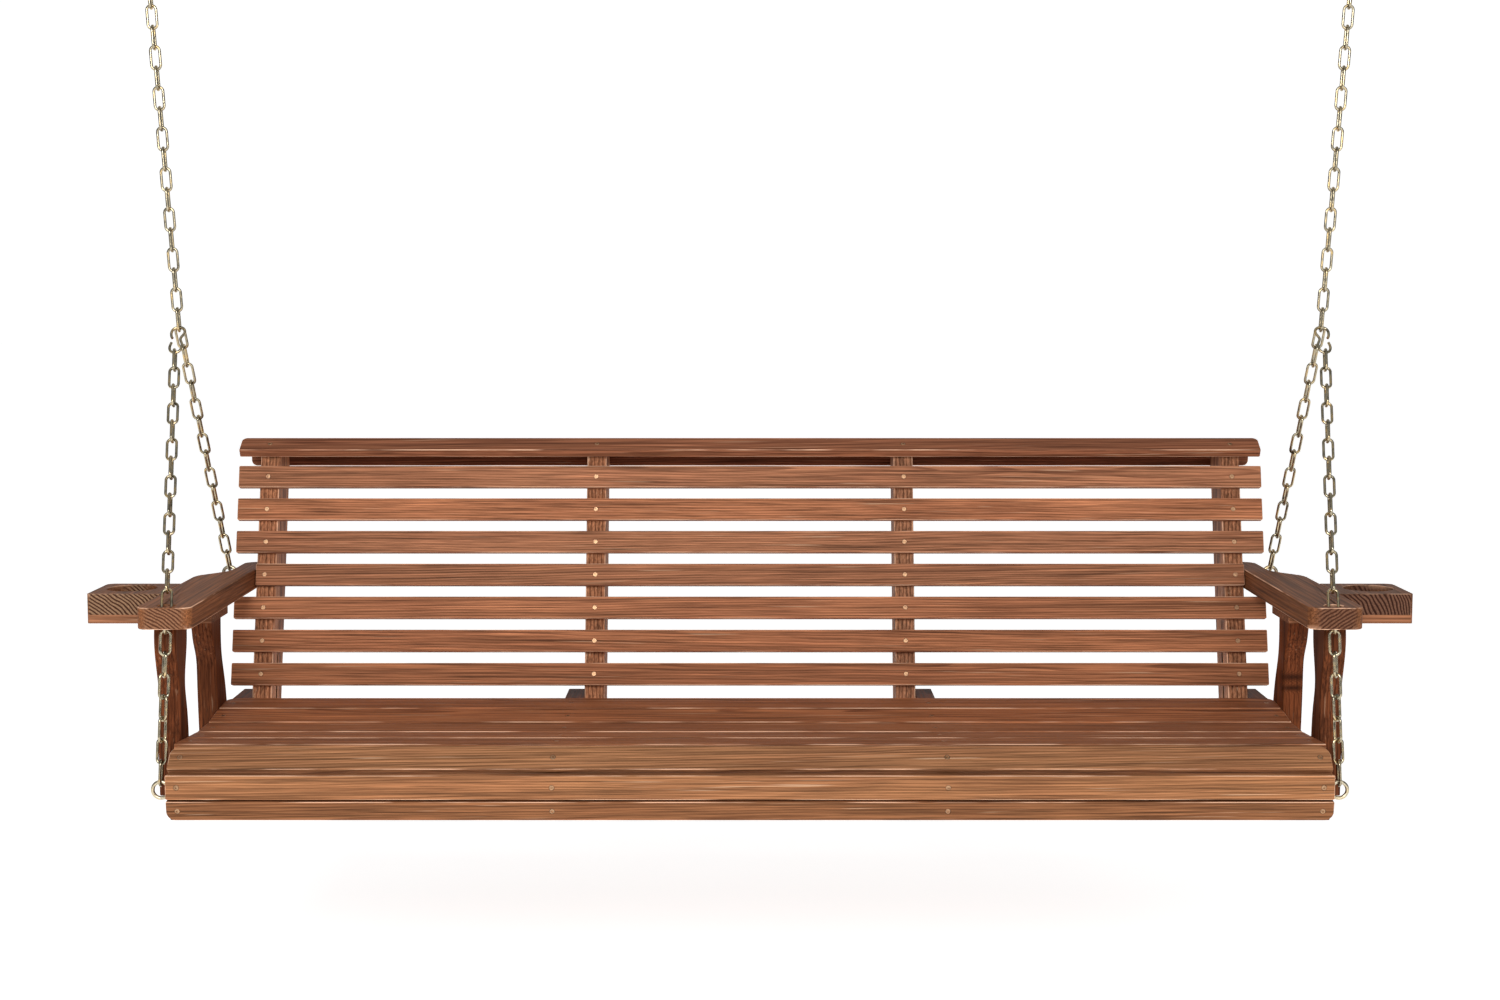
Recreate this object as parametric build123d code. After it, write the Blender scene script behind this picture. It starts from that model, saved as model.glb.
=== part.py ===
from build123d import *
import os
from math import atan2, cos, degrees, hypot, radians, sin, sqrt

# Six-foot rollback porch swing with cup holders, hung on chains from two ceiling eyes.
# Bench drawing axes: Y runs back from the front of the nosing, U runs up from the bottom of the nosing.
# Written parts: origin on the ceiling midway between the eyes, X along the bench, Y back, Z up.

# overall sizes
half_length = 914.5        # half of the slat length
ceiling_to_bottom = 1375.0  # ceiling plane down to the bottom of the nosing
hang_y = 361.8             # where the chains hang, behind the front of the nosing
lumber = 35.0              # thickness of supports, struts, posts and arms
slat_t = 19.0              # thickness of the seat and nosing slats
back_t = 16.0              # thickness of the back slats
slat_edge_r = 1.8          # eased edges of every slat
# seat
seat_rear_y = 445.0
seat_edges = [(61.8, 115.5, 131.8, 111.0), (140.1, 110.2, 210.1, 105.3), (218.4, 104.9, 288.4, 104.9),
              (296.7, 105.7, 366.7, 114.0), (375.0, 114.8, 445.0, 119.5)]
front_low = 39.0 + 0.18 * (slat_t - 19.0)  # the front board clears its neighbours' inner corners
front_high = 96.6 - slat_t
nosing_edges = [(12.2, 85.2, 44.0, 117.0), (0.0, front_low, 0.0, front_high), (6.5, 4.7, 1.0, 35.2)]
support_rear_y = 598.0
support_rear_u = 113.0
# back
lean = 15.45               # degrees from upright
back_foot = (469.0, 148.0)  # a point on the front faces of the back slats
back_slat_w = 39.0
back_first_u = 157.4
back_pitch_u = 56.85
back_count = 7
short_slat = 4             # counted from the top; it stops at the arms
short_half = half_length - lumber - 1.5
strut_depth = 86.0
# carriers across the width
outer_support_x = half_length - lumber
outer_strut_x = half_length - 2 * lumber
inner_strut_x = 257.5
inner_support_x = inner_strut_x + lumber
# arms and posts
arm_top = 336.0
arm_inner_x = outer_support_x
arm_outer_x = half_length + lumber + 16.5
arm_nose_y = 42.0
arm_rear_y = 640.0
arm_waist_y = 425.0
arm_tail_x = half_length + 5.5
chain_hole = (half_length + 8.5, 70.0)
post_bottom = 22.0
# cup holders
cup_outer_x = arm_outer_x + 122.0
cup_front_y = 205.0
cup_rear_y = 335.0
cup_hole_r = 41.0
cup_centre = (arm_outer_x + 66.0, 277.0)
cup_base_t = 14.0
cup_base_inner_x = arm_inner_x + 4.5
# steelwork
wire_r = 2.3
link_w = wire_r * 20.0 / 2.3
chain_hole_r = 0.75 * link_w
play = 0.3
link_pitch = 34.2          # nearest spacing of the links along a chain
junction = (arm_outer_x - 1.4, hang_y, 770.0)
ceiling_eye_x = arm_outer_x + 34.6
ceiling_eye_r = 14.0
ceiling_wire_r = 4.0
ceiling_eye_drop = 44.0
stud_length = 45.0
front_eye = (half_length + 16.5, 41.0, 46.0)
front_eye_r = 13.0
rear_eye = (half_length + 20.5, 570.0, 324.0)
rear_eye_r = 11.5
eye_wire_r = 3.0
bolt_r = 4.0
screw_r = 4.1
screw_t = 2.4

os.makedirs("parts", exist_ok=True)
written = {}


def save(name, shape):
    """Write one named part."""
    written[name] = shape
    export_step(shape, "parts/" + name + ".step")


def place(y, u):
    """Bench drawing Y and U to the written Y and Z."""
    return (y - hang_y, u - ceiling_to_bottom)


def world(p):
    """Bench drawing X, Y, U to a written point."""
    return Vector(p[0], p[1] - hang_y, p[2] - ceiling_to_bottom)


def prism(edges, x0, x1):
    """Solid between two X planes from outline edges drawn in written Y and Z."""
    face = Plane.YZ.offset(x0) * make_face(edges)
    return extrude(face, amount=x1 - x0)


def outline(points):
    """Closed straight-sided outline from bench drawing points."""
    flat = [place(*p) for p in points]
    return Polyline(*flat, close=True)


def drill_x(y, u, radius, x0, x1):
    """Cylinder along X for a bolt hole or shank."""
    a, b = min(x0, x1), max(x0, x1)
    py, pz = place(y, u)
    return Plane.YZ.offset(a) * (Pos(py, pz, (b - a) / 2) * Cylinder(radius, b - a))


# ---------------------------------------------------------------- slats and their screws
screw_heads = {"seat": [], "back": [], "cup": []}


def screw_head(plane, x, v):
    """Flat head with a driver recess, seated in its pocket."""
    head = Cylinder(screw_r, screw_t)
    head = chamfer(head.edges().group_by(Axis.Z)[-1], 0.4)
    head -= Pos(0, 0, screw_t / 2 - 1.8) * extrude(RegularPolygon(2.1, 6), amount=3.0)
    return plane * (Pos(x, v, -screw_t / 2 - 0.1) * head)


def slat(edge, half, thickness, screws, group, front_r=2.0, rear_r=2.0):
    """Board whose show face runs between two edges (front or lower edge first), with screw pockets."""
    y0, u0, y1, u1 = edge
    width = hypot(y1 - y0, u1 - u0)
    tilt = atan2(u1 - u0, y1 - y0)
    cy, cz = place((y0 + y1) / 2, (u0 + u1) / 2)
    plane = Plane(origin=(0, cy, cz), x_dir=(1, 0, 0), z_dir=(0, -sin(tilt), cos(tilt)))
    face = Rectangle(2 * half, width)
    face = fillet(face.vertices().filter_by(lambda p: p.Y > 0), rear_r)
    face = fillet(face.vertices().filter_by(lambda p: p.Y < -width / 2 + 0.01), front_r)
    body = extrude(face, amount=-thickness)
    body = fillet(body.edges(), slat_edge_r)
    for x in screws:
        body -= Pos(x, 0, -(screw_t + 0.1) / 2) * Cylinder(screw_r + play, screw_t + 0.1)
        screw_heads[group].append(screw_head(plane, x, 0))
    return plane * body


seat_screw_x = [-outer_support_x - lumber / 2, -inner_support_x - lumber / 2,
                inner_support_x + lumber / 2, outer_support_x + lumber / 2]
back_screw_x = [-outer_strut_x - lumber / 2, -inner_strut_x - lumber / 2,
                inner_strut_x + lumber / 2, outer_strut_x + lumber / 2]

for number, edge in enumerate(seat_edges, 1):
    rear = 22.0 if number == len(seat_edges) else 2.0
    save("seat_slat_%d" % number, slat(edge, half_length, slat_t, seat_screw_x, "seat", 2.0, rear))
nosing_names = ["nosing_top", "nosing_front", "nosing_under"]
nosing_corner = [(2.0, 20.0), (2.0, 2.0), (14.0, 2.0)]
for name, edge, corner in zip(nosing_names, nosing_edges, nosing_corner):
    save(name, slat(edge, half_length, slat_t, seat_screw_x, "seat", *corner))

rise = Vector(sin(radians(lean)), cos(radians(lean)))
back_normal = Vector(cos(radians(lean)), -sin(radians(lean)))


def on_back(u, depth):
    """Point at height u on a line parallel to the back slats' faces, depth behind them."""
    along = (u - back_foot[1]) / rise.Y
    y = back_foot[0] + along * rise.X + depth / back_normal.X
    return (y, u)


for number in range(1, back_count + 1):
    centre_u = back_first_u + back_pitch_u * (back_count - number)
    cy, cu = on_back(centre_u, 0)
    ry, ru = rise.X * back_slat_w / 2, rise.Y * back_slat_w / 2
    half = short_half if number == short_slat else half_length
    save("back_slat_%d" % number,
         slat((cy - ry, cu - ru, cy + ry, cu + ru), half, back_t, back_screw_x, "back"))

# the rolled top: crest, top and rear boards
crest_edge = (572.0, 546.0, 605.5, 565.3)
roll_top_edge = (628.9, 562.2, 667.0, 553.8)
roll_rear_edge = (692.6, 548.0, 692.6, 509.0)
save("crest_board", slat(crest_edge, half_length, back_t, back_screw_x, "back", 2.0, 10.0))
save("roll_top_board", slat(roll_top_edge, half_length, back_t, back_screw_x, "back", 2.0, 2.0))
save("roll_rear_board", slat(roll_rear_edge, half_length, back_t, back_screw_x, "back", 2.0, 10.0))


# ---------------------------------------------------------------- seat supports
def underside(edge, thickness):
    """Underside edge points of a slat."""
    y0, u0, y1, u1 = edge
    length = hypot(y1 - y0, u1 - u0)
    ny, nu = -(u1 - u0) / length, (y1 - y0) / length
    return [(y0 - thickness * ny, u0 - thickness * nu), (y1 - thickness * ny, u1 - thickness * nu)]


nose_top = underside(nosing_edges[0], slat_t)
nose_face = underside(nosing_edges[1], slat_t)
nose_under = underside(nosing_edges[2], slat_t)
front_flat = underside(seat_edges[0], slat_t)[0]
drop_to_flat = nose_top[1][1] - front_flat[1] - 0.4
crown = (nose_top[1][0] - drop_to_flat, nose_top[1][1] - drop_to_flat)
support_points = [(28.0, 0.0), nose_under[0], nose_under[1], (nose_face[0][0], nose_face[0][1] + 1.0),
                  (nose_face[0][0], nose_top[0][1] - 4.0), nose_top[0], crown]
for edge in seat_edges:
    support_points += underside(edge, slat_t)
rear_step = seat_rear_y + 5.0
support_points += [(rear_step, support_points[-1][1] + 0.2), (rear_step + 3.0, support_rear_u)]
corner = 26.0
for step in range(5):
    turn = radians(90 - 22.5 * step)
    support_points.append((support_rear_y - corner + corner * cos(turn),
                           support_rear_u - corner + corner * sin(turn)))
support_points += [(support_rear_y, 24.0), (support_rear_y - 24.0, 0.0), (500.0, 0.0)]
for step in range(1, 8):
    along = step / 8
    support_points.append((500.0 - 360.0 * along, 20.0 * sin(along * 3.14159)))
support_points.append((140.0, 0.0))

front_post_bolts = [(132.0, 42.0), (132.0, 76.0)]
rear_post_bolts = [(407.0, 42.0), (405.0, 78.0)]
strut_bolts = [(500.0, 38.0), (512.0, 86.0)]


def support(x0, outer):
    """Seat support with its bolt holes."""
    body = prism(outline(support_points), x0, x0 + lumber)
    holes = list(strut_bolts)
    if outer:
        holes += front_post_bolts + rear_post_bolts + [front_eye[1:]]
    for y, u in holes:
        body -= drill_x(y, u, bolt_r + play, x0 - 1, x0 + lumber + 1)
    return body


save("seat_support_right_outer", support(outer_support_x, True))
save("seat_support_right_inner", support(inner_support_x, False))
save("seat_support_left_inner", support(-inner_support_x - lumber, False))
save("seat_support_left_outer", support(-outer_support_x - lumber, True))

# ---------------------------------------------------------------- back struts
crest_under = underside(crest_edge, back_t)
top_under = underside(roll_top_edge, back_t)
rear_under = underside(roll_rear_edge, back_t)
slope = (crest_under[1][1] - crest_under[0][1]) / (crest_under[1][0] - crest_under[0][0])
strut_high = on_back(528.0, back_t)
head_start = (strut_high[0] + 3.0, crest_under[0][1] + slope * (strut_high[0] + 3.0 - crest_under[0][0]))
strut_points = [on_back(8.0, back_t), strut_high, head_start, crest_under[1], top_under[0], top_under[1],
                (rear_under[0][0] - 4.0, top_under[1][1] - 2.0), rear_under[0],
                (rear_under[1][0], 500.0), on_back(470.0, back_t + strut_depth),
                on_back(60.0, back_t + strut_depth), on_back(8.0, back_t + strut_depth - 22.0)]


def strut(x0, outer):
    """Back strut with its bolt holes."""
    body = prism(outline(strut_points), x0, x0 + lumber)
    holes = list(strut_bolts)
    if outer:
        holes.append(rear_eye[1:])
    for y, u in holes:
        body -= drill_x(y, u, bolt_r + play, x0 - 1, x0 + lumber + 1)
    return body


save("back_strut_right_outer", strut(outer_strut_x, True))
save("back_strut_right_inner", strut(inner_strut_x, False))
save("back_strut_left_inner", strut(-inner_strut_x - lumber, False))
save("back_strut_left_outer", strut(-outer_strut_x - lumber, True))

# ---------------------------------------------------------------- arm posts
arm_bottom = arm_top - lumber
front_post_front = [(arm_bottom, 93.0), (245.0, 94.0), (200.0, 108.0), (155.0, 111.0), (110.0, 103.0),
                    (60.0, 102.0), (post_bottom, 103.0)]
front_post_rear = [(post_bottom, 165.0), (60.0, 164.0), (115.0, 163.0), (160.0, 156.0), (197.0, 147.0),
                   (245.0, 159.0), (arm_bottom, 163.0)]
rear_post_front = [(arm_bottom, 331.0), (262.0, 334.0), (233.0, 344.0), (205.0, 361.0), (168.0, 366.0),
                   (126.0, 368.0), (65.0, 373.0), (post_bottom, 376.0)]
rear_post_rear = [(post_bottom, 444.0), (80.0, 442.0), (119.0, 437.0), (165.0, 423.0), (205.0, 407.0),
                  (250.0, 404.0), (arm_bottom, 408.0)]


def post(front, rear, x0, bolts):
    """Wavy arm post between two X planes."""
    a = [place(y, u) for u, y in front]
    b = [place(y, u) for u, y in rear]
    edges = Spline(*a) + Line(a[-1], b[0]) + Spline(*b) + Line(b[-1], a[0])
    body = prism(edges, x0, x0 + lumber)
    for y, u in bolts:
        body -= drill_x(y, u, bolt_r + play, x0 - 1, x0 + lumber + 1)
    return body


for side, x0 in (("right", half_length), ("left", -half_length - lumber)):
    save("front_post_" + side, post(front_post_front, front_post_rear, x0, front_post_bolts))
    save("rear_post_" + side, post(rear_post_front, rear_post_rear, x0, rear_post_bolts))

# ---------------------------------------------------------------- arms and cup holders
cup_base_screws = [(arm_inner_x + 43.0, cup_front_y + 30.0), (arm_inner_x + 43.0, cup_rear_y - 42.0),
                   (cup_outer_x - 15.0, cup_front_y + 18.0), (cup_outer_x - 15.0, cup_rear_y - 22.0)]
cup_base_rear_y = 326.0


def flat_board(edges, top, thickness, mirrored):
    """Level board from a plan outline drawn for the right-hand side in X and bench Y."""
    face = make_face(edges)
    body = Pos(0, -hang_y, top - ceiling_to_bottom) * extrude(face, amount=-thickness)
    return mirror(body, about=Plane.YZ) if mirrored else body


def bore_down(x, y, top, radius, depth):
    """Upright cylinder hanging down from a level."""
    return Pos(x, y - hang_y, top - ceiling_to_bottom - depth / 2) * Cylinder(radius, depth)


def arm(side):
    """Arm board: round nose, waist behind the cup holder, round tail against the strut."""
    mirrored = side == "left"
    nose_r, tail_r = 20.0, 26.0
    k = 1 - sqrt(0.5)
    edges = Line((arm_inner_x + nose_r, arm_nose_y), (arm_outer_x - nose_r, arm_nose_y))
    edges += ThreePointArc((arm_outer_x - nose_r, arm_nose_y),
                           (arm_outer_x - nose_r * k, arm_nose_y + nose_r * k),
                           (arm_outer_x, arm_nose_y + nose_r))
    edges += Line((arm_outer_x, arm_nose_y + nose_r), (arm_outer_x, arm_waist_y))
    edges += Spline((arm_outer_x, arm_waist_y), (arm_outer_x - 18.0, arm_waist_y + 42.0),
                    (arm_tail_x + 5.0, arm_waist_y + 78.0), (arm_tail_x, arm_waist_y + 118.0),
                    tangents=[(-0.15, 1), (0, 1)])
    edges += Line((arm_tail_x, arm_waist_y + 118.0), (arm_tail_x, arm_rear_y - tail_r))
    edges += ThreePointArc((arm_tail_x, arm_rear_y - tail_r),
                           (arm_tail_x - tail_r * k, arm_rear_y - tail_r * k),
                           (arm_tail_x - tail_r, arm_rear_y))
    edges += Line((arm_tail_x - tail_r, arm_rear_y), (arm_inner_x, arm_rear_y))
    edges += Line((arm_inner_x, arm_rear_y), (arm_inner_x, arm_nose_y + nose_r))
    edges += ThreePointArc((arm_inner_x, arm_nose_y + nose_r),
                           (arm_inner_x + nose_r * k, arm_nose_y + nose_r * k),
                           (arm_inner_x + nose_r, arm_nose_y))
    body = flat_board(edges, arm_top, lumber, mirrored)
    sign = -1 if mirrored else 1
    body -= bore_down(sign * chain_hole[0], chain_hole[1], arm_top + 1, chain_hole_r, lumber + 2)
    ends = (sign * (arm_inner_x - 1), sign * (arm_tail_x + 30))
    body -= drill_x(rear_eye[1], rear_eye[2], bolt_r + play, *ends)
    return body


def plan_rectangle(x0, x1, y0, y1, radii):
    """Rectangle outline whose four corners are rounded, in the order front-inner round to rear-inner."""
    face = Pos((x0 + x1) / 2, (y0 + y1) / 2) * Rectangle(x1 - x0, y1 - y0)
    corners = [(x0, y0), (x1, y0), (x1, y1), (x0, y1)]
    for (cx, cy), radius in zip(corners, radii):
        if radius:
            near = face.vertices().sort_by_distance(Vector(cx, cy, 0))[0]
            face = fillet(near, radius)
    return face


def cup_board(side):
    """Block beside the arm with the round hole that holds a tumbler."""
    mirrored = side == "left"
    face = plan_rectangle(arm_outer_x, cup_outer_x, cup_front_y, cup_rear_y, (0, 5.0, 14.0, 0))
    body = Pos(0, -hang_y, arm_top - ceiling_to_bottom) * extrude(face, amount=-lumber)
    body -= bore_down(cup_centre[0], cup_centre[1], arm_top + 1, cup_hole_r, lumber + 2)
    return mirror(body, about=Plane.YZ) if mirrored else body


def cup_base(side):
    """Plate that closes the cup hole from below and runs in under the arm."""
    mirrored = side == "left"
    face = plan_rectangle(cup_base_inner_x, cup_outer_x, cup_front_y, cup_base_rear_y, (2.0, 5.0, 12.0, 2.0))
    top = arm_top - lumber
    body = Pos(0, -hang_y, top - ceiling_to_bottom) * extrude(face, amount=-cup_base_t)
    for x, y in cup_base_screws:
        body -= bore_down(x, y, top - cup_base_t + screw_t + 0.1, screw_r + play, screw_t + 1.1)
        floor = Plane(origin=world((x, y, top - cup_base_t)), x_dir=(1, 0, 0), z_dir=(0, 0, -1))
        head = screw_head(floor, 0, 0)
        screw_heads["cup"].append(mirror(head, about=Plane.YZ) if mirrored else head)
    return mirror(body, about=Plane.YZ) if mirrored else body


for side in ("right", "left"):
    save("arm_" + side, arm(side))
    save("cup_board_" + side, cup_board(side))
    save("cup_base_" + side, cup_base(side))

save("seat_screws", Compound(screw_heads["seat"]))
save("back_screws", Compound(screw_heads["back"]))
save("cup_base_screws", Compound(screw_heads["cup"]))

# ---------------------------------------------------------------- bolts, washers and nuts
washer_t = 1.5
nut_t = 6.5
bolts, nuts = [], []


def nut_pair(face_x, sign, y, u):
    """Washer and hexagon nut against a face, on the side that sign points away from."""
    py, pz = place(y, u)
    plane = Plane(origin=(face_x, py, pz), x_dir=(0, 1, 0), z_dir=(-sign, 0, 0))
    washer = extrude(Circle(9.0) - Circle(bolt_r + play), amount=washer_t)
    nut = extrude(RegularPolygon(7.5, 6) - Circle(bolt_r + play), amount=nut_t)
    nuts.append(plane * washer)
    nuts.append(plane * (Pos(0, 0, washer_t) * nut))


def carriage_bolt(head_x, nut_x, sign, y, u):
    """Domed bolt through two boards."""
    py, pz = place(y, u)
    plane = Plane(origin=(head_x, py, pz), x_dir=(0, 1, 0), z_dir=(sign, 0, 0))
    dome = Pos(0, 0, 2.2) * Cylinder(9.0, 4.4)
    dome = fillet(dome.edges().group_by(Axis.Z)[-1], 3.6)
    length = abs(head_x - nut_x) + washer_t + nut_t + 3.0
    shank = Pos(0, 0, -length / 2 + 0.5) * Cylinder(bolt_r, length + 1.0)
    bolts.append(plane * (dome + shank))
    nut_pair(nut_x, sign, y, u)


for sign in (1, -1):
    for y, u in front_post_bolts + rear_post_bolts:
        carriage_bolt(sign * (half_length + lumber), sign * outer_support_x, sign, y, u)
    for y, u in strut_bolts:
        carriage_bolt(sign * half_length, sign * outer_strut_x, sign, y, u)
        carriage_bolt(sign * (inner_support_x + lumber), sign * inner_strut_x, sign, y, u)


def eye_bolt(centre, ring_r, sign, nut_x):
    """Eye bolt whose ring faces the front and whose shank runs inwards."""
    middle = world((sign * centre[0], centre[1], centre[2]))
    ring = Plane(origin=middle, x_dir=(1, 0, 0), z_dir=(0, -1, 0)) * Torus(ring_r, eye_wire_r)
    start = centre[0] - ring_r
    end = nut_x - washer_t - nut_t - 3.0
    shank = drill_x(centre[1], centre[2], bolt_r, sign * start, sign * end)
    nut_pair(sign * nut_x, sign, centre[1], centre[2])
    return ring + shank


for side, sign in (("right", 1), ("left", -1)):
    save("front_eye_" + side, eye_bolt(front_eye, front_eye_r, sign, outer_support_x))
    save("rear_eye_" + side, eye_bolt(rear_eye, rear_eye_r, sign, outer_strut_x))
save("carriage_bolts", Compound(bolts))
save("nuts_and_washers", Compound(nuts))


# ---------------------------------------------------------------- chains
def chain_link(length):
    """One welded link: length between its end wire centres along Z, width along X."""
    turn = link_w / 2 - wire_r
    reach = length / 2
    straight = reach - turn
    loop = Line((turn, 0, -straight), (turn, 0, straight))
    loop += ThreePointArc((turn, 0, straight), (0, 0, reach), (-turn, 0, straight))
    loop += Line((-turn, 0, straight), (-turn, 0, -straight))
    loop += ThreePointArc((-turn, 0, -straight), (0, 0, -reach), (turn, 0, -straight))
    section = Plane(origin=(turn, 0, -straight), z_dir=(0, 0, 1)) * Circle(wire_r)
    return sweep(section, path=loop)


def chain(start, end, odd, first_roll, twist=0.0):
    """Odd or even number of links between two end wire centres, each a quarter turn on from the last."""
    joint = 2 * wire_r + play
    run = end - start
    count = 2 * round(((run.length - joint) / link_pitch - odd) / 2) + odd
    length = (run.length - joint) / count + joint
    direction = run.normalized()
    across = (Vector(1, 0, 0) - direction * direction.X).normalized()
    other = direction.cross(across)
    one = chain_link(length)
    links = []
    for index in range(count):
        roll = radians(first_roll + index * 90.0 + twist * index / (count - 1))
        width = across * cos(roll) + other * sin(roll)
        middle = start + direction * (index * (length - joint) + length / 2)
        links.append(Plane(origin=middle, x_dir=width, z_dir=direction) * one)
    return Compound(links)


hook_path = [(9.6, 21.1), (11.8, 12.0), (9.1, 3.8), (0.0, 0.0), (-8.2, 2.9), (-10.8, 8.6), (-8.4, 15.4),
             (-4.0, 22.6), (-6.0, 31.2), (-6.2, 40.8), (-2.0, 47.3), (4.5, 49.6), (11.4, 46.6), (13.7, 39.8),
             (12.5, 33.6), (10.6, 29.3)]
hook_scale = wire_r / 2.3
hook_path = [(a * hook_scale, b * hook_scale) for a, b in hook_path]
hook_low = (4.5 * hook_scale, 49.6 * hook_scale)

turn_r = link_w / 2 - wire_r
seat_r = turn_r - 2 * wire_r - play
side_shift = (2 * wire_r + play) / 2
seat_drop = sqrt(seat_r ** 2 - side_shift ** 2)


def save_pair(name, shape):
    """Write the right-hand part and its mirror image."""
    save(name + "_right", shape)
    save(name + "_left", mirror(shape, about=Plane.YZ))


knot = world(junction)
eye = Vector(ceiling_eye_x, 0, -ceiling_eye_drop)
down = (knot - eye).normalized()
top = eye - down * (wire_r + ceiling_wire_r + play)
save_pair("upper_chain", chain(top, knot + down * turn_r, 1, 90.0))

rear_start = knot + Vector(0, side_shift, -seat_drop)
ring_top = world((rear_eye[0], rear_eye[1], rear_eye[2] + rear_eye_r))
aim = (ring_top - rear_start).normalized()
rear_end = ring_top + aim * (wire_r + eye_wire_r + play)
save_pair("rear_chain", chain(rear_start, rear_end, 0, 0.0))

hook_top = knot + Vector(0, -side_shift, -seat_drop)
in_hole = world((chain_hole[0], chain_hole[1], arm_top - 10.0))
lean_dir = (in_hole - hook_top).normalized()
outward = (Vector(1, 0, 0) - lean_dir * lean_dir.X).normalized()
wire = Spline(*[hook_top + outward * a + lean_dir * b for a, b in hook_path])
section = Plane(origin=wire @ 0, z_dir=wire % 0) * Circle(wire_r)
save_pair("s_hook", sweep(section, path=wire))

hook_foot = hook_top + outward * hook_low[0] + lean_dir * hook_low[1]
aim = (in_hole - hook_foot).normalized()
save_pair("front_chain", chain(hook_foot - aim * (2 * wire_r + play), in_hole, 0, 90.0))

eye_top = world((front_eye[0], front_eye[1], front_eye[2] + front_eye_r))
aim = (eye_top - in_hole).normalized()
drop_start = in_hole - aim * (2 * wire_r + play)
drop_end = eye_top + aim * (wire_r + eye_wire_r + play)
save_pair("drop_chain", chain(drop_start, drop_end, 0, 90.0, 90.0))

ring = Plane(origin=eye + Vector(0, 0, ceiling_eye_r), x_dir=(1, 0, 0), z_dir=(0, -1, 0))
ring = ring * Torus(ceiling_eye_r, ceiling_wire_r)
neck_low = -ceiling_eye_drop + 2 * ceiling_eye_r
neck = Pos(eye.X, 0, neck_low / 2) * Cylinder(ceiling_wire_r + 0.8, -neck_low)
collar = Pos(eye.X, 0, -1.5) * Cylinder(11.0, 3.0)
stud = Pos(eye.X, 0, stud_length / 2 - 0.5) * Cylinder(ceiling_wire_r, stud_length + 1.0)
save_pair("ceiling_eye", ring + neck + collar + stud)
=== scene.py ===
import bpy, math
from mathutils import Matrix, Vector


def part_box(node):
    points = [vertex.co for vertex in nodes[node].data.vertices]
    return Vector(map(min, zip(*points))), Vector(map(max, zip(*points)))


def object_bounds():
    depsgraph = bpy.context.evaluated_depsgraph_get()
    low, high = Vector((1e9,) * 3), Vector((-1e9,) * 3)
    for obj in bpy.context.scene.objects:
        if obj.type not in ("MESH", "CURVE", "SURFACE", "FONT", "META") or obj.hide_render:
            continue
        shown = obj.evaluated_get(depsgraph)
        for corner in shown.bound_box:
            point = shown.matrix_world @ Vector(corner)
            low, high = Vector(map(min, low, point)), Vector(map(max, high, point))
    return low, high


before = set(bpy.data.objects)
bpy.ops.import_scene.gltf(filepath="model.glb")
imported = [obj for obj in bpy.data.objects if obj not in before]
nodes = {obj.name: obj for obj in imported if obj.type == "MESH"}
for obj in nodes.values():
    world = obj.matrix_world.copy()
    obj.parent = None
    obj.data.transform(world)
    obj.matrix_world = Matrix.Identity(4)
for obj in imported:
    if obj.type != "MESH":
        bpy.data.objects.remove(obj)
cad_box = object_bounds()


# ------------------------------------------------------------------ node helpers
def new_material(name):
    mat = bpy.data.materials.new(name)
    mat.use_nodes = True
    mat.node_tree.nodes.clear()
    return mat, mat.node_tree


def node(tree, kind, **settings):
    made = tree.nodes.new(kind)
    for key, value in settings.items():
        if key in made.inputs:
            made.inputs[key].default_value = value
        else:
            setattr(made, key, value)
    return made


def principled(tree, **settings):
    """Principled shader joined to an output."""
    shader = node(tree, "ShaderNodeBsdfPrincipled", **settings)
    tree.links.new(shader.outputs[0], tree.nodes.new("ShaderNodeOutputMaterial").inputs[0])
    return shader


def coordinate(tree, which):
    return tree.nodes.new("ShaderNodeTexCoord").outputs[which]


def math_node(tree, operation, a, b=None, c=None):
    made = tree.nodes.new("ShaderNodeMath")
    made.operation = operation
    for socket, value in zip(made.inputs, (a, b, c)):
        if value is None:
            continue
        if isinstance(value, (int, float)):
            socket.default_value = value
        else:
            tree.links.new(value, socket)
    return made.outputs[0]


def vector_math(tree, operation, a, constant=None, added=None):
    made = tree.nodes.new("ShaderNodeVectorMath")
    made.operation = operation
    tree.links.new(a, made.inputs[0])
    if constant is not None:
        made.inputs[1].default_value = constant
    if added is not None:
        tree.links.new(added, made.inputs[2])
    return made.outputs["Value"] if operation in ("LENGTH", "DOT_PRODUCT") else made.outputs[0]


def turned(tree, vector, rotation):
    """Vector read in axes that are turned by a rotation."""
    made = node(tree, "ShaderNodeMapping")
    made.vector_type = "TEXTURE"
    made.inputs["Rotation"].default_value = rotation
    tree.links.new(vector, made.inputs["Vector"])
    return made.outputs[0]


def split(tree, vector):
    made = tree.nodes.new("ShaderNodeSeparateXYZ")
    tree.links.new(vector, made.inputs[0])
    return made.outputs


def ramp(tree, factor, stops):
    """Colour ramp; a stop is a place and a colour, or a place and one grey level."""
    made = tree.nodes.new("ShaderNodeValToRGB")
    elements = made.color_ramp.elements
    while len(elements) > 1:
        elements.remove(elements[-1])
    for index, (place, colour) in enumerate(stops):
        stop = elements.new(place) if index else elements[0]
        stop.position = place
        stop.color = (*colour, 1) if isinstance(colour, tuple) else (colour, colour, colour, 1)
    tree.links.new(factor, made.inputs[0])
    return made.outputs[0]


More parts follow.
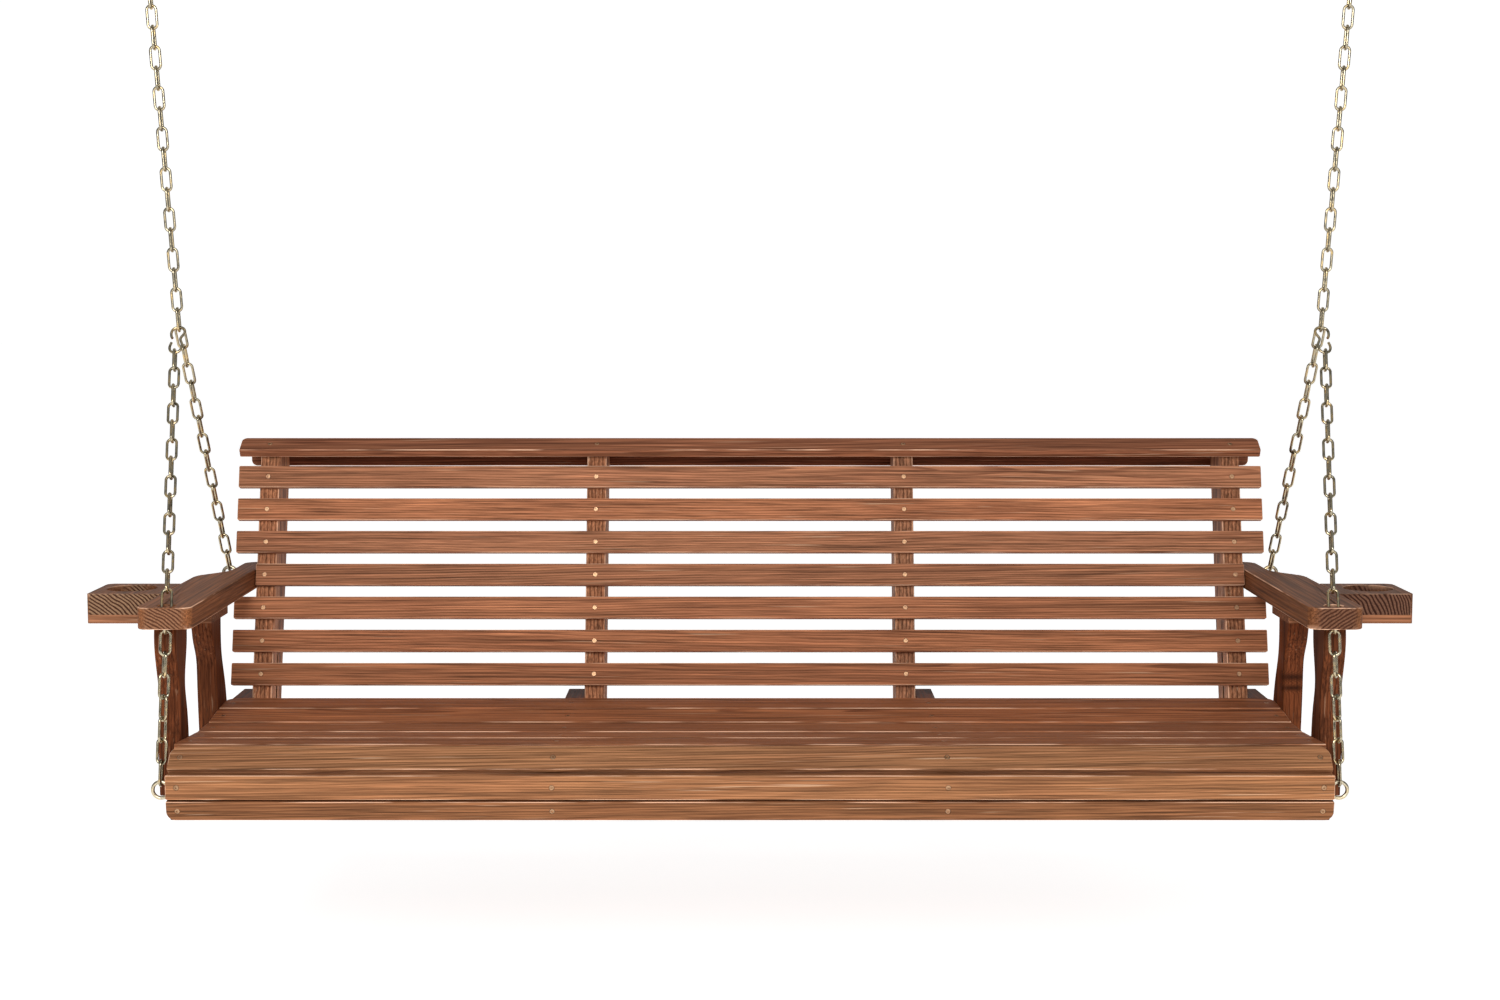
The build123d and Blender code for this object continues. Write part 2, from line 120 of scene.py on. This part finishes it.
def mix(tree, kind, factor, a, b):
    made = tree.nodes.new("ShaderNodeMix")
    made.data_type = "RGBA"
    made.blend_type = kind
    sockets = {s.identifier: s for s in made.inputs}
    for key, value in (("Factor_Float", factor), ("A_Color", a), ("B_Color", b)):
        if isinstance(value, (int, float)):
            sockets[key].default_value = value
        elif isinstance(value, tuple):
            sockets[key].default_value = (*value, 1)
        else:
            tree.links.new(value, sockets[key])
    return next(s for s in made.outputs if s.identifier == "Result_Color")


def noise(tree, vector, scale, detail, rough):
    made = node(tree, "ShaderNodeTexNoise", Scale=scale, Detail=detail, Roughness=rough)
    tree.links.new(vector, made.inputs["Vector"])
    return made.outputs["Fac"]


def grain_noise(tree, grain, along, across, detail, rough):
    """Noise drawn out along the grain: so many features a metre along it and across it."""
    return noise(tree, vector_math(tree, "MULTIPLY", grain, (along, across, across)), 1.0, detail, rough)


def roughen(tree, shader, height, strength, distance):
    bump = node(tree, "ShaderNodeBump", Strength=strength, Distance=distance)
    tree.links.new(height, bump.inputs["Height"])
    tree.links.new(bump.outputs[0], shader.inputs["Normal"])


# ------------------------------------------------------------------ stained pine
scuff_colour = (0.62, 0.40, 0.25)
# colour of the painted highlight on rounded edges
edge_highlight_colour = (0.86, 0.52, 0.34)
end_tint = (0.80, 0.76, 0.74)
ring_wander = 0.020
shade_mark_push = 0.018
ring_strength = 0.75
streak_strength = 0.8
fibre_strength = 0.85
cloud_strength = 0.6
# darkness of the painted shade marks
shade_mark_strength = 0.85
# strength of the painted edge highlight
edge_highlight_strength = 0.90


def shade_mark_bells(tree, coords, shade_marks):
    """One soft bump for each dark mark of painted shade, given by its centre, its size and how it is drawn
    out in X, Y and Z.
    """
    bells = []
    for centre, size, reach in shade_marks:
        away = vector_math(tree, "SUBTRACT", coords, centre)
        away = vector_math(tree, "LENGTH", vector_math(tree, "MULTIPLY", away, tuple(1.0 / v for v in reach)))
        away = math_node(tree, "DIVIDE", away, size)
        square = math_node(tree, "MULTIPLY", away, away)
        bells.append(math_node(tree, "EXPONENT", math_node(tree, "MULTIPLY", square, -1.0)))
    return bells


def ring_phase(tree, grain, ring, bells):
    """Place within one growth ring, from 0 to 1; the rings wander along the board and swerve round the
    painted shade marks.
    """
    wander = node(tree, "ShaderNodeTexNoise", Scale=1.0, Detail=2.5, Roughness=0.55)
    tree.links.new(vector_math(tree, "MULTIPLY", grain, (2.0, 16.0, 16.0)), wander.inputs["Vector"])
    sideways = (0.0, ring_wander, ring_wander)
    shifted = vector_math(tree, "MULTIPLY_ADD", wander.outputs["Color"], sideways, grain)
    apart = split(tree, shifted)
    across = math_node(tree, "MULTIPLY", apart[1], apart[1])
    across = math_node(tree, "ADD", across, math_node(tree, "MULTIPLY", apart[2], apart[2]))
    radius = math_node(tree, "SQRT", across)
    for bell in bells:
        radius = math_node(tree, "ADD", radius, math_node(tree, "MULTIPLY", bell, shade_mark_push))
    return math_node(tree, "FRACT", math_node(tree, "DIVIDE", radius, ring))


def end_grain(tree, base, phase, fine, turn, stripes):
    """Ends drink more stain, or show their rings in two colours where stripes are given."""
    normal = split(tree, turned(tree, coordinate(tree, "Normal"), turn))
    end = math_node(tree, "POWER", math_node(tree, "ABSOLUTE", normal[0]), 8.0)
    if not stripes:
        return mix(tree, "MULTIPLY", end, base, end_tint)
    early = ramp(tree, phase, [(0.25, 0.0), (0.45, 1.0), (0.80, 1.0), (0.95, 0.0)])
    early = mix(tree, "MIX", early, *stripes)
    return mix(tree, "MIX", end, base, mix(tree, "MULTIPLY", 0.6, early, fine))


def highlighted_edges(tree, base, grain, face):
    """The rounded edges beside the show face get a painted highlight, paler in patches, where they turn
    towards the light.
    """
    level = vector_math(tree, "DOT_PRODUCT", coordinate(tree, "Normal"), face)
    edge_highlight = ramp(tree, math_node(tree, "ABSOLUTE", level), [(0.12, 0.0), (0.35, 1.0), (0.84, 1.0), (0.97, 0.0)])
    patch = ramp(tree, grain_noise(tree, grain, 5.0, 30.0, 3.0, 0.6), [(0.44, 0.05), (0.58, 1.0)])
    edge_highlight = math_node(tree, "MULTIPLY", edge_highlight, math_node(tree, "MULTIPLY", patch, edge_highlight_strength))
    return mix(tree, "MIX", edge_highlight, base, edge_highlight_colour)


def wood(name, turn, pith, tone, ring, contrast, scuffs, face=None, shade_marks=(), stripes=None):
    """Stained pine. Its grain runs along X after turn; pith is the ring centre across it, and a shift."""
    mat, tree = new_material(name)
    shader = principled(tree)
    coords = coordinate(tree, "Object")
    grain = vector_math(tree, "SUBTRACT", turned(tree, coords, turn), (pith[2], pith[0], pith[1]))
    bells = shade_mark_bells(tree, coords, shade_marks)
    phase = ring_phase(tree, grain, ring, bells)
    late = ramp(tree, phase, [(0.0, 0.05), (0.5, 0.25), (0.80, 1.0), (0.90, 0.9), (0.97, 0.0)])
    light, dark = tone
    base = mix(tree, "MIX", math_node(tree, "MULTIPLY", late, ring_strength * contrast), light, dark)
    streak = grain_noise(tree, grain, 1.4, 150.0, 3.0, 0.6)
    streak = ramp(tree, streak, [(0.30, 0.46), (0.46, 0.92), (0.56, 1.06), (0.72, 1.50)])
    base = mix(tree, "MULTIPLY", streak_strength, base, streak)
    fibre = grain_noise(tree, grain, 6.0, 420.0, 4.0, 0.65)
    fine = ramp(tree, fibre, [(0.34, 0.40), (0.5, 1.0), (0.66, 1.45)])
    base = mix(tree, "MULTIPLY", fibre_strength, base, fine)
    cloud = grain_noise(tree, grain, 3.0, 14.0, 3.0, 0.55)
    cloud = ramp(tree, cloud, [(0.3, (0.76, 0.70, 0.70)), (0.52, 1.0), (0.75, (1.16, 1.16, 1.12))])
    base = mix(tree, "MULTIPLY", cloud_strength, base, cloud)
    # short pale scuffs where the stain has rubbed thin
    scuff = ramp(tree, grain_noise(tree, grain, 4.5, 260.0, 2.0, 0.5), [(0.66, 0.0), (0.74, 1.0)])
    base = mix(tree, "MIX", math_node(tree, "MULTIPLY", scuff, scuffs), base, scuff_colour)
    # painted shade: dark slanted marks, darkest at their centres
    if bells:
        shade_mark = bells[0]
        for bell in bells[1:]:
            shade_mark = math_node(tree, "MAXIMUM", shade_mark, bell)
        shade_mark_colour = tuple(c * 0.3 for c in dark)
        base = mix(tree, "MIX", math_node(tree, "MULTIPLY", shade_mark, shade_mark_strength), base, shade_mark_colour)
    base = end_grain(tree, base, phase, fine, turn, stripes)
    # painted highlight along the rounded edges beside the show face
    if face:
        base = highlighted_edges(tree, base, grain, face)
    tree.links.new(base, shader.inputs["Base Color"])
    tree.links.new(math_node(tree, "MULTIPLY_ADD", fibre, 0.25, 0.48), shader.inputs["Roughness"])
    shader.inputs["Specular IOR Level"].default_value = 0.06
    roughen(tree, shader, math_node(tree, "MULTIPLY_ADD", late, 0.5, fibre), 0.4, 0.0008)
    return mat


# ------------------------------------------------------------------ plated steel
def plated(name, colours, rough, scale):
    """Zinc plated steel whose passivation drifts between several tints."""
    mat, tree = new_material(name)
    shader = principled(tree, Metallic=1.0)
    coords = coordinate(tree, "Object")
    drift = noise(tree, coords, scale, 3.0, 0.6)
    step = 0.4 / (len(colours) - 1)
    tint = ramp(tree, drift, [(0.3 + step * i, colour) for i, colour in enumerate(colours)])
    speck = noise(tree, coords, 900.0, 2.0, 0.6)
    tint = mix(tree, "MULTIPLY", 0.5, tint, ramp(tree, speck, [(0.3, 0.6), (0.6, 1.0)]))
    tree.links.new(tint, shader.inputs["Base Color"])
    tree.links.new(math_node(tree, "MULTIPLY_ADD", drift, 0.25, rough - 0.1), shader.inputs["Roughness"])
    roughen(tree, shader, speck, 0.25, 0.0003)
    return mat


# ------------------------------------------------------------------ tones, light wood then dark wood
back_tone = ((0.385, 0.158, 0.078), (0.105, 0.033, 0.016))
crest_tone = ((0.255, 0.096, 0.048), (0.092, 0.028, 0.014))
seat_tone = ((0.390, 0.146, 0.064), (0.105, 0.031, 0.014))
nosing_tone = ((0.335, 0.154, 0.070), (0.120, 0.044, 0.020))
# the board under the nosing is a darker copy of the nosing tone: painted shade on the face turned down
shaded_under_tone = ((0.250, 0.108, 0.048), (0.095, 0.034, 0.015))
strut_tone = ((0.420, 0.180, 0.090), (0.110, 0.034, 0.015))
arm_tone = ((0.238, 0.092, 0.038), (0.096, 0.032, 0.013))
cup_tone = ((0.200, 0.084, 0.040), (0.085, 0.030, 0.015))
plate_tone = ((0.300, 0.128, 0.064), (0.120, 0.042, 0.020))
post_tone = ((0.160, 0.046, 0.016), (0.055, 0.015, 0.006))

# ------------------------------------------------------------------ what each kind of board is like
back_lean = math.radians(15.45)
back_face = (0, -math.cos(back_lean), math.sin(back_lean))
upward = (0, 0, 1)
sideways_face = (1, 0, 0)
# start of the names: grain axis, tone, scatter of the tone, ring spacing, ring contrast, scuffs,
# show face, edge rounding
boards = [
    (("back_slat",), ("x", back_tone, 0.10, 0.0046, 0.8, 0.45, back_face, 0)),
    (("crest_board", "roll_"), ("x", crest_tone, 0.12, 0.0050, 0.8, 0.45, upward, 0)),
    (("nosing_under",), ("x", shaded_under_tone, 0.05, 0.0048, 0.8, 0.5, upward, 0)),
    (("nosing_",), ("x", nosing_tone, 0.05, 0.0048, 0.8, 0.5, upward, 0)),
    (("seat_slat",), ("x", seat_tone, 0.12, 0.0056, 0.9, 0.5, upward, 0)),
    (("seat_support",), ("y", post_tone, 0.12, 0.0060, 1.0, 0.5, None, 0.0025)),
    (("arm_",), ("y", arm_tone, 0.05, 0.0052, 0.7, 0.1, upward, 0.0018)),
    (("cup_board",), ("y", cup_tone, 0.05, 0.0056, 0.7, 0.1, upward, 0.0007)),
    (("cup_base_left", "cup_base_right"), ("x", plate_tone, 0.05, 0.0050, 0.7, 0.5, None, 0)),
    (("front_post", "rear_post"), ("z", post_tone, 0.12, 0.0060, 0.9, 0.2, None, 0.0025)),
    (("back_strut",), ("z", strut_tone, 0.12, 0.0068, 1.1, 0.6, sideways_face, 0.0025)),
]
# show faces of the boards that lie neither flat nor at the lean of the back
show_faces = {"nosing_top": (0, -0.707, 0.707), "nosing_front": (0, -1, 0),
              "nosing_under": (0, -0.984, -0.177), "crest_board": (0, -0.5, 0.866),
              "roll_top_board": (0, 0.215, 0.977), "roll_rear_board": (0, 1, 0)}
# which way the width of a board rises, in degrees, so that its pith lies to one side of the show face
width_rise = {"nosing_front": 90, "nosing_under": 80, "nosing_top": 45, "crest_board": 30,
              "roll_rear_board": 90}
# pith beside and above the middle of the boards whose end grain faces the front
end_pith = {"arm_left": (-0.150, -0.170), "arm_right": (0.130, -0.160),
            "cup_board_left": (-0.160, -0.130), "cup_board_right": (-0.110, -0.045)}
# end grain ring colours, dark then light; the right pieces get darker copies as painted shade, the light
# coming from the left
end_stripes = {"arm_left": ((0.080, 0.028, 0.014), (0.245, 0.115, 0.060)),
               "arm_right": ((0.055, 0.019, 0.010), (0.150, 0.066, 0.036)),
               "cup_board_left": ((0.050, 0.018, 0.010), (0.270, 0.155, 0.088)),
               "cup_board_right": ((0.035, 0.012, 0.007), (0.150, 0.070, 0.042))}
# two dark slanted marks on the inner face of the right rear post, painted shade lines
post_shade_marks = {"rear_post_right": (((0.9320, 0.0060, -1.2050), 0.016, (2.0, 1.0, 0.42)),
                                  ((0.9320, 0.0030, -1.2240), 0.014, (2.0, 1.0, 0.36)))}
# word in the name: tints, roughness, how many drifts of tint a metre
steels = [
    ("chain", ([(0.19, 0.17, 0.12), (0.46, 0.40, 0.28), (0.72, 0.52, 0.25)], 0.20, 70.0)),
    ("hook", ([(0.19, 0.17, 0.12), (0.46, 0.40, 0.28), (0.72, 0.52, 0.25)], 0.20, 70.0)),
    ("screws", ([(0.28, 0.15, 0.08), (0.50, 0.30, 0.17), (0.36, 0.19, 0.11)], 0.44, 80.0)),
    ("", ([(0.46, 0.44, 0.36), (0.64, 0.55, 0.38), (0.70, 0.53, 0.27)], 0.30, 60.0)),
]


def between(seed, low, high):
    """A fixed scatter between two numbers for a whole number seed."""
    part = math.sin(seed * 12.9898 + 4.1414) * 43758.5453
    return low + (high - low) * (part - math.floor(part))


def toned(tone, seed, spread):
    """A tone made a little lighter or darker and warmer or cooler for one board."""
    gain = 1 + between(seed, -spread, spread)
    warm = between(seed + 7, -0.05, 0.05)
    return tuple((c[0] * gain * (1 + warm), c[1] * gain, c[2] * gain * (1 - warm)) for c in tone)


def grain_turn(axis, seed):
    """Rotation that takes X to the board's length, with a degree or so of run-out."""
    slip = math.radians(between(seed + 11, -0.9, 0.9))
    rise = math.radians(between(seed + 13, -0.7, 0.7))
    if axis == "x":
        return (0.0, rise, slip)
    if axis == "y":
        return (rise, 0.0, math.radians(90) + slip)
    return (0.0, math.radians(-90) + rise, slip)


def pith_of(name, axis, seed):
    """Where the rings of one board have their centre, across its grain, and a shift along it."""
    low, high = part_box(name)
    middle = (low + high) / 2
    offset = between(seed + 3, -0.03, 0.03)
    drop = between(seed + 5, 0.015, 0.06)
    along = between(seed, -5, 5)
    if name in end_pith:
        beside, above = end_pith[name]
        return (-(middle.x + beside), middle.z + above, along)
    if axis == "x":
        tilt = math.radians(width_rise.get(name, 0.0))
        if name.startswith("back_slat"):
            tilt = math.radians(90) - back_lean
        aslant = between(seed + 17, 0.045, 0.085) * (1 if between(seed + 19, -1, 1) > 0 else -1)
        return (middle.y + aslant * abs(math.cos(tilt)), middle.z + aslant * math.sin(tilt) - drop, along)
    if axis == "y":
        return (-middle.x + offset, middle.z - drop, along)
    return (middle.y + offset, middle.x - drop, along)


def paint(name, mat):
    data = nodes[name].data
    data.materials.clear()
    data.materials.append(mat)


def ease(name, width):
    """Small rounded edges on a sawn piece."""
    weld = nodes[name].modifiers.new("weld", "WELD")
    weld.merge_threshold = 0.00002
    bevel = nodes[name].modifiers.new("ease", "BEVEL")
    bevel.width = width
    bevel.segments = 3
    bevel.limit_method = "ANGLE"
    bevel.angle_limit = math.radians(35)
    bevel.use_clamp_overlap = False
    bevel.harden_normals = True


for seed, name in enumerate(sorted(nodes), 1):
    board = next((facts for starts, facts in boards if name.startswith(starts)), None)
    if not board:
        steel = next(facts for word, facts in steels if word in name)
        paint(name, plated(name + "_zinc", *steel))
        continue
    axis, tone, spread, ring, contrast, scuffs, face, rounding = board
    turn = grain_turn(axis, seed)
    pith = pith_of(name, axis, seed)
    pine = wood(name + "_pine", turn, pith, toned(tone, seed, spread), ring, contrast, scuffs,
                show_faces.get(name, face), post_shade_marks.get(name, ()), end_stripes.get(name))
    paint(name, pine)
    if rounding:
        ease(name, rounding)

# ------------------------------------------------------------------ floor and backdrop
floor_drop = 0.34
floor_glow = 0.62
floor_z = cad_box[0].z - floor_drop
floor_mesh = bpy.data.meshes.new("floor")
floor_corners = [(-30, -20, floor_z), (30, -20, floor_z), (30, 40, floor_z), (-30, 40, floor_z)]
floor_mesh.from_pydata(floor_corners, [], [(0, 1, 2, 3)])
floor = bpy.data.objects.new("floor", floor_mesh)
bpy.context.scene.collection.objects.link(floor)
pale, tree = new_material("pale_floor")
shader = principled(tree, Roughness=0.9)
shader.inputs["Base Color"].default_value = (0.92, 0.92, 0.92, 1)
shader.inputs["Emission Color"].default_value = (1, 1, 1, 1)
shader.inputs["Emission Strength"].default_value = floor_glow
floor_mesh.materials.append(pale)

# a white screen behind the swing, and a dimmer room elsewhere that darkens to both sides
world = bpy.data.worlds.new("studio")
bpy.context.scene.world = world
world.use_nodes = True
sky = world.node_tree
heading = split(sky, coordinate(sky, "Generated"))
screen = ramp(sky, heading[1], [(0.72, 0.0), (0.88, 1.0)])
above = ramp(sky, heading[2], [(0.10, 0.22), (0.75, 0.50)])
aside = ramp(sky, math_node(sky, "ABSOLUTE", heading[0]), [(0.35, 1.0), (0.80, 0.45)])
room = mix(sky, "MULTIPLY", 1.0, above, aside)
sky.links.new(mix(sky, "MIX", screen, room, (1.0, 1.0, 1.0)), sky.nodes["Background"].inputs[0])
sky.nodes["Background"].inputs[1].default_value = 1.04


# ------------------------------------------------------------------ lights and camera
def area(name, place, target, size, power):
    data = bpy.data.lights.new(name, "AREA")
    data.shape = "RECTANGLE"
    data.size, data.size_y = size
    data.energy = power
    lamp = bpy.data.objects.new(name, data)
    bpy.context.scene.collection.objects.link(lamp)
    lamp.location = place
    lamp.rotation_mode = "QUATERNION"
    lamp.rotation_quaternion = (Vector(target) - Vector(place)).to_track_quat("-Z", "Y")


aim = (0.0, 0.0, -1.1)
area("key", (-0.8, -3.9, 0.7), aim, (1.6, 1.2), 102)
area("fill", (1.8, -4.2, 0.2), aim, (1.6, 1.6), 36)

camera_place = (0.0, -3.9028, -0.527)
camera_tilt = math.radians(90 - 5.45)
lens_length = 55.3
camera_data = bpy.data.cameras.new("camera")
camera_data.lens = lens_length
camera_data.sensor_width = 36.0
camera_data.clip_end = 100
camera = bpy.data.objects.new("camera", camera_data)
bpy.context.scene.collection.objects.link(camera)
camera.location = camera_place
camera.rotation_euler = (camera_tilt, 0.0, 0.0)
bpy.context.scene.camera = camera
bpy.context.scene.view_settings.view_transform = "Standard"
